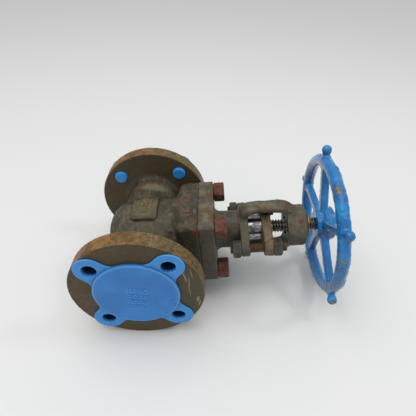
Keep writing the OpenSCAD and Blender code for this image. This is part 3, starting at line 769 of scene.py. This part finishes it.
def piece(name, part, *nodes):
    """A mesh piece that stands for CAD nodes, riding on their body with their finish."""
    points, quads, edge = part
    mesh = bpy.data.meshes.new(name)
    mesh.vertices.add(len(points))
    mesh.vertices.foreach_set("co", (points * MM).astype(np.float32).ravel())
    mesh.loops.add(quads.size)
    mesh.loops.foreach_set("vertex_index", quads.astype(np.int32).ravel())
    mesh.polygons.add(len(quads))
    mesh.polygons.foreach_set("loop_start", np.arange(0, quads.size, 4, dtype=np.int32))
    mesh.update(calc_edges=True)
    mesh.validate()
    mesh.shade_smooth()
    mesh.attributes.new("edge", "FLOAT", "POINT").data.foreach_set("value", edge.astype(np.float32))
    made = bpy.data.objects.new(name, mesh)
    bpy.context.scene.collection.objects.link(made)
    slot = node_slot[nodes[0]]
    mesh.materials.append(finishes[slot])
    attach(made, node_body[nodes[0]])
    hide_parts(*nodes)
    return made


# ---- body -------------------------------------------------------------------------------


def about_stem(p):
    """The directions across the stem axis, and the distance from it."""
    v, w = p[:, 1] - stem_y, p[:, 2]
    return v, w, np.hypot(v, w)


def slanted(p, from_end, to_x):
    """A slanting passage from the middle of a port to the stem axis."""
    reach = np.hypot(stem_y - 14, to_x)
    way_x, way_y = to_x / reach, (stem_y - 14) / reach
    along = p[:, 0] * way_x + (from_end - 14) * way_y
    off = p[:, 0] * way_y - (from_end - 14) * way_x
    return bar(np.hypot(off, p[:, 2]), along, 12.5, 0, reach, 2)


def pad_marks(a, b):
    """Generic raised marks on the body's pad: a triangle, a ring and bars."""
    triangle = np.maximum(-b - 2.2, np.abs(a) * 0.866 + b * 0.5 - 2.6)
    marks = np.maximum(triangle, -(triangle + 1.2))
    marks = np.minimum(marks, np.abs(np.hypot(a, b - 9) - 2.6) - 0.55)
    bars = ((0, -7, 3.6, 0.55), (0, -10.5, 2.4, 0.55), (6.5, -1, 0.6, 8), (-7, 3, 0.55, 5))
    for at_a, at_b, half_a, half_b in bars:
        marks = np.minimum(marks, block(a - at_a, b - at_b, half_a, half_b, 0.3))
    return marks


def pad_mark_shape(p):
    away = np.hypot(p[:, 1] - stem_y, p[:, 2])
    return meet(pad_marks(p[:, 0] - 3, p[:, 1] - stem_y - 2), np.abs(away - barrel_r - 2.8) - 0.65, 0.2)


def body_shape(p):
    x, y, z = p.T
    v, w, stem_away = about_stem(p)
    run_away = np.hypot(x, z)
    from_end = np.minimum(y, run_len - y)
    neck = meet(run_away - neck_r, -from_end, 0.5)
    barrel = bar(stem_away, x, barrel_r, barrel_low, square_back_x + 8, 24, 0.5)
    d = join(barrel, neck, 5)
    flange = bar(run_away, from_end, flange_r, 0, flange_t, 0.9)
    d = join(d, flange, 6)
    d = join(d, bar(run_away, from_end, raised_face_r, -raised_face_h, 2, 0.4), 0.3)
    square = block(v, w, square_half, square_half, 6)
    square = meet(meet(square, square_back_x - x, 7), x - joint_x, 0.5)
    d = join(d, square, 7)
    pad_a, pad_b = x - 4, y - stem_y - 1.5
    outline = block(pad_a, pad_b, 13, 18.5, 4)
    pad = meet(np.maximum(outline, -z), stem_away - barrel_r - 2.7, 1.0)
    lip = np.maximum(np.abs(outline + 1.2) - 0.9, np.maximum(pad_a - 9, -z))
    lip = meet(lip, stem_away - barrel_r - 3.3, 0.5)
    d = join(d, join(pad, lip, 0.6), 1.2)
    turned = radians(46.5)
    side, up = v * cos(turned) + w * sin(turned), w * cos(turned) - v * sin(turned)
    stamp = meet(block(x - 31, side, 2.2, 1.4, 0.5), np.abs(up - barrel_r) - 0.8, 0.5)
    d = join(d, stamp, 0.8)
    holes_a, holes_b = np.abs(x) - bolt_at, np.abs(z) - bolt_at
    here_r = np.where(y < stem_y, hole_r, outlet_hole_r)
    holes = meet(np.hypot(holes_a, holes_b) - here_r, from_end - flange_t - 3, 0.3)
    d = less(d, holes, 0.5)
    cavity = meet(run_away - port_r, from_end - 24, 1)
    cavity = join(cavity, np.where(y < stem_y, slanted(p, y, -23), slanted(p, run_len - y, 23)), 1)
    d = less(d, cavity, 0.6)
    under_seat = (15, -28, -2.9, 1, 0.3)
    seat_recess = (19, -3, 3.1, 0.3, 0.3)
    chamber = (27, 3, joint_x + 2, 1, 0.3)
    gasket_recess = (31, 55, joint_x + 2, 0.3, 0.3)
    d = bored(d, stem_away, x, [under_seat, seat_recess, chamber, gasket_recess])
    bolt_a, bolt_b = np.abs(v) - bolt_pitch / 2, np.abs(w) - bolt_pitch / 2
    return less(d, bar(np.hypot(bolt_a, bolt_b), x, 6.05, 43, joint_x + 2, 0.3), 0.3)


def body_lumps(p):
    """The uneven skin of the forging, none of it where the body is machined."""
    x, y, z = p.T
    from_end = np.minimum(y, run_len - y)
    forged = np.clip((from_end - flange_t - 1) / 4, 0, 1) * np.clip((joint_x - 1 - x) / 3, 0, 1)
    outside = np.clip((np.hypot(y - stem_y, z) - 33) / 2, 0, 1)
    outside = np.maximum(outside, np.clip((np.hypot(x, z) - 29) / 2, 0, 1))
    return forged * outside * (0.22 * lumps(p, 17, 1) + 0.13 * lumps(p, 6, 2))


body_skin = skin(
    body_shape,
    (-flange_r, -raised_face_h, -flange_r),
    (flange_r, run_len + raised_face_h, flange_r),
    1.25,
    body_lumps,
)
pad_mark_skin = skin(pad_mark_shape, (-8, stem_y - 11, 34), (12, stem_y + 15, 40.6), 0.42)
piece("forged_body", together([body_skin, pad_mark_skin]), "body")

# ---- bonnet and yoke --------------------------------------------------------------------


def bonnet_shape(p):
    x, y, z = p.T
    v, w, away = about_stem(p)
    square = block(v, w, square_half, square_half, 4.5)
    plate = meet(meet(square, joint_x + 0.05 - x, 0.4), x - bonnet_face_x, 1.1)
    d = join(plate, bar(away, x, 30.7, spigot_x, joint_x + 2, 0.4), 0.3)
    d = join(d, bar(away, x, bonnet_neck_r, bonnet_face_x - 5, lug_x + 3, 0.5), 7)
    half = gland_pitch / 2
    middle, end = lug_middle_r, lug_end_r
    lean = (middle - end) / half
    side = np.abs(v)
    slope_side = (side * lean + np.abs(w) * sqrt(1 - lean**2)) - middle
    oval = np.where(side < middle * lean, away - middle, slope_side)
    oval = np.where(side > half + end * lean, np.hypot(side - half, w) - end, oval)
    oval = np.minimum(oval, np.minimum(away - middle, np.hypot(side - half, w) - end))
    lugs = meet(oval, np.abs(x - (lug_x + lug_top_x) / 2) - (lug_top_x - lug_x) / 2, 1.8)
    d = join(d, lugs, 2.5)
    hub = bar(away, x, hub_r, hub_low_x, yoke_end_x, 1.2)
    hub = meet(hub, (x - 169.8) * 0.86 + (away - hub_r + 0.6) * 0.52, 1.0)
    route = [(104.5, 19), (107.5, 25), (114, 28), (128, 28.6)]
    route += [(143, 28.4), (150, 26.4), (156, 21.5), (162, 18)]
    arm = path_distance(x, away, route, [3.6, 3.8, 3.4, 3.3, 3.4, 3.6, 3.6, 3])
    arm = meet(arm, side - 8 - 0.02 * np.abs(x - 130), 2.4)
    d = join(d, join(arm, hub, 2.8), 2.2)
    mouth = (17, 50, 62, 0.5, 0.3)
    back_seat = (12.53, 61.9, 78, 0.3, 0.2)
    stem_bore = (7.35, 61, 90, 0.3, 0.2)
    stuffing_box = (14.05, 84, lug_top_x + 4, 0.3, 0.6)
    bush_bore = (10.05, hub_low_x - 4, yoke_end_x + 2, 0.3, 0.6)
    d = bored(d, away, x, [mouth, back_seat, stem_bore, stuffing_box, bush_bore])
    stud_away = np.hypot(side - half, w)
    d = less(d, bar(stud_away, x, 5.2, lug_x - 2, lug_top_x + 2, 0.3), 0.5)
    bolt_away = np.hypot(side - bolt_pitch / 2, np.abs(w) - bolt_pitch / 2)
    return less(d, bar(bolt_away, x, 6.75, joint_x - 2, bonnet_face_x + 2, 0.3), 0.3)


def bonnet_lumps(p):
    x = p[:, 0]
    away = np.hypot(p[:, 1] - stem_y, p[:, 2])
    forged = np.clip((x - bonnet_face_x - 1) / 3, 0, 1) * np.clip((yoke_end_x - 5 - x) / 3, 0, 1)
    forged = forged * np.clip((away - 15) / 2, 0, 1)
    return forged * (0.2 * lumps(p, 12, 3) + 0.12 * lumps(p, 5, 4))


bonnet_skin = skin(
    bonnet_shape,
    (spigot_x, stem_y - gland_pitch / 2 - 8.5, -square_half),
    (yoke_end_x, stem_y + gland_pitch / 2 + 8.5, square_half),
    0.85,
    bonnet_lumps,
)
piece("forged_bonnet", bonnet_skin, "bonnet")

# ---- bolts, nuts and studs --------------------------------------------------------------


def thread_radius(x, v, w, crest, root, pitch):
    """The radius of a right-hand thread on the stem axis at each point."""
    phase = (x / pitch - np.arctan2(w, v) / (2 * pi)) % 1
    return root + (crest - root) * np.clip(np.abs(phase - 0.5) * 3.4 - 0.35, 0, 1)


def hex_head(x, v, w, start, end, across, turn, bevel=1.0):
    away = np.hypot(v, w)
    d = meet(hexagon(v, w, across, turn), np.abs(x - (start + end) / 2) - (end - start) / 2, 0.35)
    flat_r = across / 2 - bevel * 0.2
    return meet(d, (x - end) * 0.87 + (away - flat_r) * 0.5, 0.3)


def bolt_shape(turn):
    def shape(p):
        v, w, away = about_stem(p)
        x = p[:, 0]
        head = hex_head(x, v, w, bonnet_face_x + 0.8, bolt_top_x, bolt_across, turn)
        washer_face = bar(away, x, 9.1, bonnet_face_x + 0.05, bonnet_face_x + 2, 0.2)
        shank = bar(away, x, 5.95, 45, bonnet_face_x + 2, 0.6)
        return join(join(head, washer_face, 0.2), shank, 0.4)

    return shape


def moved(part, v, w):
    points, quads, edge = part
    return points + np.array([0, v, w]), quads, edge


def at_places(shapes, places, lowest_x, highest_x, reach, step, detail=None):
    """One skin for each place across the stem axis, all of them as one."""
    parts = []
    for shape, (v, w) in zip(shapes, places):
        lowest = (lowest_x, stem_y - reach, -reach)
        highest = (highest_x, stem_y + reach, reach)
        parts.append(moved(skin(shape, lowest, highest, step, detail), v, w))
    return together(parts)


def rust_scale(depth):
    return lambda p: depth * (lumps(p, 3.2, 7) + 0.6 * lumps(p, 1.7, 8))


either_side = (-bolt_pitch / 2, bolt_pitch / 2)
bolt_places = [(v, w) for v in either_side for w in either_side]
bolt_shapes = [bolt_shape(turn) for turn in (12, 10, 15, 11)]
bolts = at_places(bolt_shapes, bolt_places, 45, bolt_top_x, 11, 0.55, rust_scale(0.05))
piece("rusted_bonnet_bolts", bolts, "bonnet_bolts")

gland_places = [(-gland_pitch / 2, 0), (gland_pitch / 2, 0)]


def nut_shape(start, turn):
    def shape(p):
        v, w, away = about_stem(p)
        x = p[:, 0]
        nut = hex_head(x, v, w, start, start + nut_h, nut_across, turn, 0.6)
        nut = meet(nut, (start - x) * 0.87 + (away - 7.8) * 0.5, 0.3)
        return less(nut, away - stud_r - 0.05, 0.5)

    return shape


def nut_pair(start, turns):
    shapes = [nut_shape(start, turn) for turn in turns]
    return at_places(shapes, gland_places, start, start + nut_h, 9.5, 0.5, rust_scale(0.05))


piece("dark_back_nuts", nut_pair(lug_x - nut_h, (8, 21)), "gland_back_nuts")
piece("dark_gland_nuts", nut_pair(gland_top_x, (20, 4)), "gland_nuts")


def stud_shape(p):
    v, w, away = about_stem(p)
    x = p[:, 0]
    radius = thread_radius(x, v, w, stud_r, stud_r - 0.85, 1.5)
    start, end = span("gland_studs")
    past_end = np.abs(x - (start + end) / 2) - (end - start) / 2
    rod = meet((away - radius) * 0.8, past_end, 0.5)
    return meet(rod, (past_end + away - stud_r + 1) * 0.7, 0.3)


studs = at_places([stud_shape] * 2, gland_places, *span("gland_studs"), stud_r, 0.36)
piece("threaded_gland_studs", studs, "gland_studs")

# ---- gland ------------------------------------------------------------------------------


def gland_flange_shape(p):
    x = p[:, 0]
    v, w, away = about_stem(p)
    half, middle, end = gland_pitch / 2, gland_middle_r, gland_end_r
    side = np.abs(v)
    lean = (middle - end) / half
    oval = np.maximum(side * lean + np.abs(w) * sqrt(1 - lean**2) - middle, side - half)
    oval = join(join(oval, away - middle, 3), np.hypot(side - half, w) - end, 1)
    centre_x = (gland_x + gland_top_x) / 2
    d = meet(oval, np.abs(x - centre_x) - (gland_top_x - gland_x) / 2, 1.8)
    stem_bore = (stem_r + 1, gland_x - 2, gland_top_x + 2, 0.3, 0.6)
    follower_seat = (14.1, gland_x - 2, high("gland_follower", "x"), 0.3, 0.3)
    d = bored(d, away, x, [stem_bore, follower_seat])
    return less(d, np.hypot(side - half, w) - stud_r - 0.4, 0.5)


gland_plate = skin(
    gland_flange_shape,
    (gland_x, low("gland_flange", "y"), low("gland_flange", "z")),
    (gland_top_x, high("gland_flange", "y"), high("gland_flange", "z")),
    0.6,
    lambda p: 0.25 * lumps(p, 11, 5) + 0.1 * lumps(p, 3.5, 6),
)
piece("oval_gland_plate", gland_plate, "gland_flange")


def turned_shape(profile_bars, bores):
    """A turned piece on the stem axis from (radius, start, end, edge) bars less bores."""

    def shape(p):
        x = p[:, 0]
        away = about_stem(p)[2]
        d = None
        for r, start, end, edge in profile_bars:
            b = bar(away, x, r, start, end, edge)
            d = b if d is None else join(d, b, 0.2)
        return bored(d, away, x, [(r, start, end, 0.2, mouth) for r, start, end, mouth in bores])

    return shape


def turned_piece(name, node, profile_bars, bores, step):
    reach = max(b[0] for b in profile_bars)
    lowest = (min(b[1] for b in profile_bars), stem_y - reach, -reach)
    highest = (max(b[2] for b in profile_bars), stem_y + reach, reach)
    return piece(name, skin(turned_shape(profile_bars, bores), lowest, highest, step), node)


follower = span("gland_follower")
turned_piece(
    "polished_follower",
    "gland_follower",
    [(13.95, *follower, 0.8)],
    [(7.35, follower[0] - 2, follower[1] + 2, 0.4)],
    0.6,
)
bush = span("yoke_bush")
turned_piece(
    "brass_yoke_bush",
    "yoke_bush",
    [(10, bush[0], bush[1], 0.4), (12.5, yoke_end_x, bush[1], 0.45)],
    [(7.08, bush[0] - 2, bush[1] + 2, 0.35)],
    0.5,
)

# ---- stem -------------------------------------------------------------------------------


def stem_shape(p):
    x = p[:, 0]
    v, w, away = about_stem(p)
    rod = bar(away, x, stem_r, 14, 137, 0.3, 0.8)
    radius = thread_radius(x, v, w, stem_r, stem_r - 1.5, 3)
    thread = meet(meet((away - radius) * 0.75, 134 - x, 0.3), x - 182.5, 0.6)
    d = np.minimum(rod, thread)
    d = np.minimum(d, bar(away, x, 9.7, 11.5, 16.5, 0.8))
    shoulder = meet(bar(away, x, 10, 44, 53, 0.2), np.abs(x - 48.5) - 4.5 - 7 + away, 0.3)
    d = join(d, np.maximum(shoulder, away - 10), 0.3)
    square = meet(block(v, w, 4.7, 4.7, 0.5), np.abs(x - 190.5) - 10, 0.3)
    d = join(d, square, 0.2)
    tip_radius = thread_radius(x, v, w, 4.97, 4.3, 1.5)
    tip = meet((away - tip_radius) * 0.85, np.abs(x - 204) - 8, 0.7)
    return join(d, tip, 0.2)


stem_skin = skin(stem_shape, (11.5, stem_y - 10, -10), (high("stem", "x"), stem_y + 10, 10), 0.46)
piece("threaded_stem", stem_skin, "stem")

# ---- handwheel --------------------------------------------------------------------------


def spoke_angles():
    return [radians(spoke_turn + 360 / spoke_n * k) for k in range(spoke_n)]


def wheel_shape(p):
    x = p[:, 0]
    v, w, away = about_stem(p)
    rim = np.hypot(away - rim_r, x - wheel_x) - rim_tube_r
    hub = bar(away, x, wheel_hub_r, max(low("handwheel", "x"), wheel_back_x), wheel_front_x, 1.4)
    hub = join(hub, bar(away, x, wheel_hub_r + 3, wheel_x - 0.5, wheel_front_x, 1.8), 2.0)
    d = np.minimum(rim, hub)
    arms = None
    for angle in spoke_angles():
        out = v * cos(angle) + w * sin(angle)
        side = w * cos(angle) - v * sin(angle)
        half = np.interp(out, [12, 40, rim_r], [5.6, 4.3, 4.6])
        arm = block(side, x - wheel_x, half, 4, 2.2)
        arm = meet(arm, np.abs(out - rim_r / 2 - 4) - rim_r / 2 + 4, 0.5)
        knob = np.sqrt((out - knob_at_r) ** 2 + side**2 + (x - wheel_x) ** 2) - knob_r
        neck = bar(np.hypot(side, x - wheel_x), out, 3.5, rim_r, knob_at_r, 0.5)
        arm = np.minimum(arm, join(knob, neck, 1.5))
        arms = arm if arms is None else np.minimum(arms, arm)
    d = join(d, arms, 3.2)
    return less(d, meet(block(v, w, 4.8, 4.8, 0.4), 180 - x, 0.3), 0.5)


def wheel_lumps(p):
    """Cast finger grips on the far side of the rim, under thick paint."""
    x = p[:, 0]
    v, w, away = about_stem(p)
    angle = np.arctan2(w, v)
    outer = np.clip((x - wheel_x + 1) / 5, 0, 1) * np.clip((away - rim_r + 5) / 5, 0, 1)
    on_rim = np.clip((away - rim_r + 8) / 3, 0, 1) * np.clip((rim_r + 9 - away) / 2, 0, 1)
    grips = 0.35 * np.sin(angle * 15 + 1.3) * outer
    rough = 0.14 * lumps(p, 5.5, 9) + 0.1 * lumps(p, 2.8, 10)
    return on_rim * (grips - 0.35 * outer + rough * (0.5 + outer)) + 0.08 * lumps(p, 6, 11)


reach = knob_at_r + knob_r
wheel_skin = skin(
    wheel_shape,
    (wheel_back_x, stem_y - reach, -reach),
    (wheel_front_x, stem_y + reach, reach),
    0.85,
    wheel_lumps,
)
piece("blue_handwheel", wheel_skin, "handwheel")
washer_bars = [(12, wheel_front_x + 0.02, washer_top_x, 0.5)]
washer_bores = [(5.3, wheel_front_x - 1, washer_top_x + 1, 0.3)]
turned_piece("painted_washer", "wheel_washer", washer_bars, washer_bores, 0.45)


def wheel_nut_shape(p):
    v, w, away = about_stem(p)
    nut = hex_head(p[:, 0], v, w, washer_top_x, wheel_nut_top_x, bolt_across, 15, 0.6)
    return less(nut, away - 5.05, 0.5)


wheel_nut_skin = skin(
    wheel_nut_shape,
    (washer_top_x, stem_y - 11, -11),
    (wheel_nut_top_x, stem_y + 11, 11),
    0.5,
    rust_scale(0.04),
)
piece("painted_wheel_nut", wheel_nut_skin, "wheel_nut")

# ---- flange caps ------------------------------------------------------------------------


def cap_marks(a, b):
    """Generic moulded marks in four rows: paired bars, diamonds and triangles."""
    marks = None
    for row in range(4):
        for column in range(4):
            u, v = a - 5 * column + 7.5 - 0.8 * row, b - 11.5 + 8 * row
            kind = (row * 3 + column * 2) % 4
            if kind == 0:
                one = block(np.abs(u) - 1.1, v, 0.5, 2.9, 0.2)
            elif kind == 1:
                one = np.abs((np.abs(u) * 1.4 + np.abs(v)) * 0.6 - 1.6) - 0.45
            elif kind == 2:
                one = np.maximum(-v - 2, np.abs(u) * 0.866 + v * 0.5 - 1.9)
                one = np.maximum(one, -(one + 0.9))
            else:
                one = block(u, np.abs(v) - 1.5, 1.9, 0.5, 0.2)
            marks = one if marks is None else np.minimum(marks, one)
    return marks


def cap_shape(p):
    x, y, z = p.T
    out = -y
    away = np.hypot(x, z)
    ends = np.hypot(np.abs(x) - bolt_at, np.abs(z) - bolt_at)
    outline = join(away - cap_disc_r, ends - cap_lug_r, 10)
    web = meet(outline, np.abs(out - cap_web_h / 2) - cap_web_h / 2, 0.8)
    disc = meet(away - cap_disc_r, np.abs(out - cap_disc_h / 2) - cap_disc_h / 2, 1.3)
    d = join(web, disc, 0.3)
    d = join(d, bar(ends, y, plug_r, -2, flange_t, 0.5, 0.6), 0.5)
    d = join(d, bar(ends, y, plug_end_r, -2, plug_top_y, 0.5, 1.6), 0.5)
    ribs = 0.14 * np.sin(12 * np.arctan2(np.abs(z) - bolt_at, np.abs(x) - bolt_at))
    d = less(d, bar(ends + ribs, y, plug_bore_r, -5, flange_t - 0.6, 0.3, 0.5), 0.3)
    d = less(d, bar(ends, y, 7.0, -5, -0.8, 0.3), 0.6)
    return less(d, bar(away, out, 37, -1, 1.8, 0.3), 0.3)


def cap_mark_shape(p):
    x, y, z = p.T
    turned = radians(12)
    a, b = x * cos(turned) - z * sin(turned), z * cos(turned) + x * sin(turned)
    return meet(cap_marks(a - 1, b + 4), np.abs(-y - 3.7) - 0.6, 0.15)


cap_lobe = bolt_at + 15
cap_skin = skin(
    cap_shape,
    (-cap_lobe, -4.2, -cap_lobe),
    (cap_lobe, plug_top_y, cap_lobe),
    0.72,
    lambda p: 0.05 * lumps(p, 14, 12),
)
cap_mark_skin = skin(cap_mark_shape, (-14, -4.3, -24), (15, -3.1, 16), 0.42)
cap_skin = together([cap_skin, cap_mark_skin])
piece("blue_inlet_cap", cap_skin, "inlet_cap")
piece("blue_outlet_cap", mirrored(cap_skin, 1, stem_y), "outlet_cap")

# ---- the other CAD nodes keep their own meshes ------------------------------------------

kept_nodes = ["seat_ring", "bonnet_gasket", "back_seat_bush", "packing_washer"]
kept_nodes += ["packing_rings", "disc", "thrust_pad", "disc_nut"]
for name in kept_nodes:
    mesh = frame["nodes"][name].data
    mesh.materials.clear()
    mesh.materials.append(finishes[node_slot[name]])

# ---- floor and light --------------------------------------------------------------------


def add_floor():
    """A plain pale floor. The valve rests on both flange rims and one knob of its wheel."""
    lean = radians(5.3)
    f = Finish("floor", roughness=0.55)
    f.done("eff0ef")
    mesh = bpy.data.meshes.new("floor")
    half = 6.0
    corners = [(-half, -half, 0), (half, -half, 0), (half, half, 0), (-half, half, 0)]
    mesh.from_pydata(corners, [], [(0, 1, 2, 3)])
    mesh.materials.append(f.material)
    floor = bpy.data.objects.new("floor", mesh)
    floor.rotation_euler = (0, lean, 0)
    floor.location = Vector((sin(lean), 0, cos(lean))) * -flange_r * MM
    bpy.context.scene.collection.objects.link(floor)


def add_lamp(name, place, size, energy):
    """A round soft lamp aimed at the valve, its place and size in metres."""
    lamp = bpy.data.lights.new(name, "AREA")
    lamp.shape = "DISK"
    lamp.size = size
    lamp.energy = energy
    placed = bpy.data.objects.new(name, lamp)
    placed.location = place
    placed.rotation_euler = (Vector((0.07, 0.08, 0)) - Vector(place)).to_track_quat("-Z", "Y").to_euler()
    bpy.context.scene.collection.objects.link(placed)


def add_light():
    """A pale room, brighter overhead, a large soft lamp and a small one for glints on the wheel."""
    world = bpy.data.worlds.new("room")
    bpy.context.scene.world = world
    world.use_nodes = True
    nodes, links = world.node_tree.nodes, world.node_tree.links
    background = nodes["Background"]
    height = nodes.new("ShaderNodeSeparateXYZ")
    links.new(nodes.new("ShaderNodeTexCoord").outputs["Generated"], height.inputs[0])
    ramp = nodes.new("ShaderNodeValToRGB")
    stops = ramp.color_ramp
    stops.elements[0].position, stops.elements[0].color = 0.0, (0.38, 0.39, 0.4, 1)
    stops.elements[1].position, stops.elements[1].color = 1.0, (1.0, 1.0, 0.99, 1)
    links.new(height.outputs["Z"], ramp.inputs[0])
    links.new(ramp.outputs[0], background.inputs["Color"])
    background.inputs["Strength"].default_value = 0.78
    add_lamp("overhead", (-0.1, -0.05, 1.4), 1.5, 8)
    add_lamp("side", (0.95, 0.1, 0.9), 0.22, 1.6)
    bpy.context.scene.view_settings.view_transform = "Standard"


add_floor()
add_light()
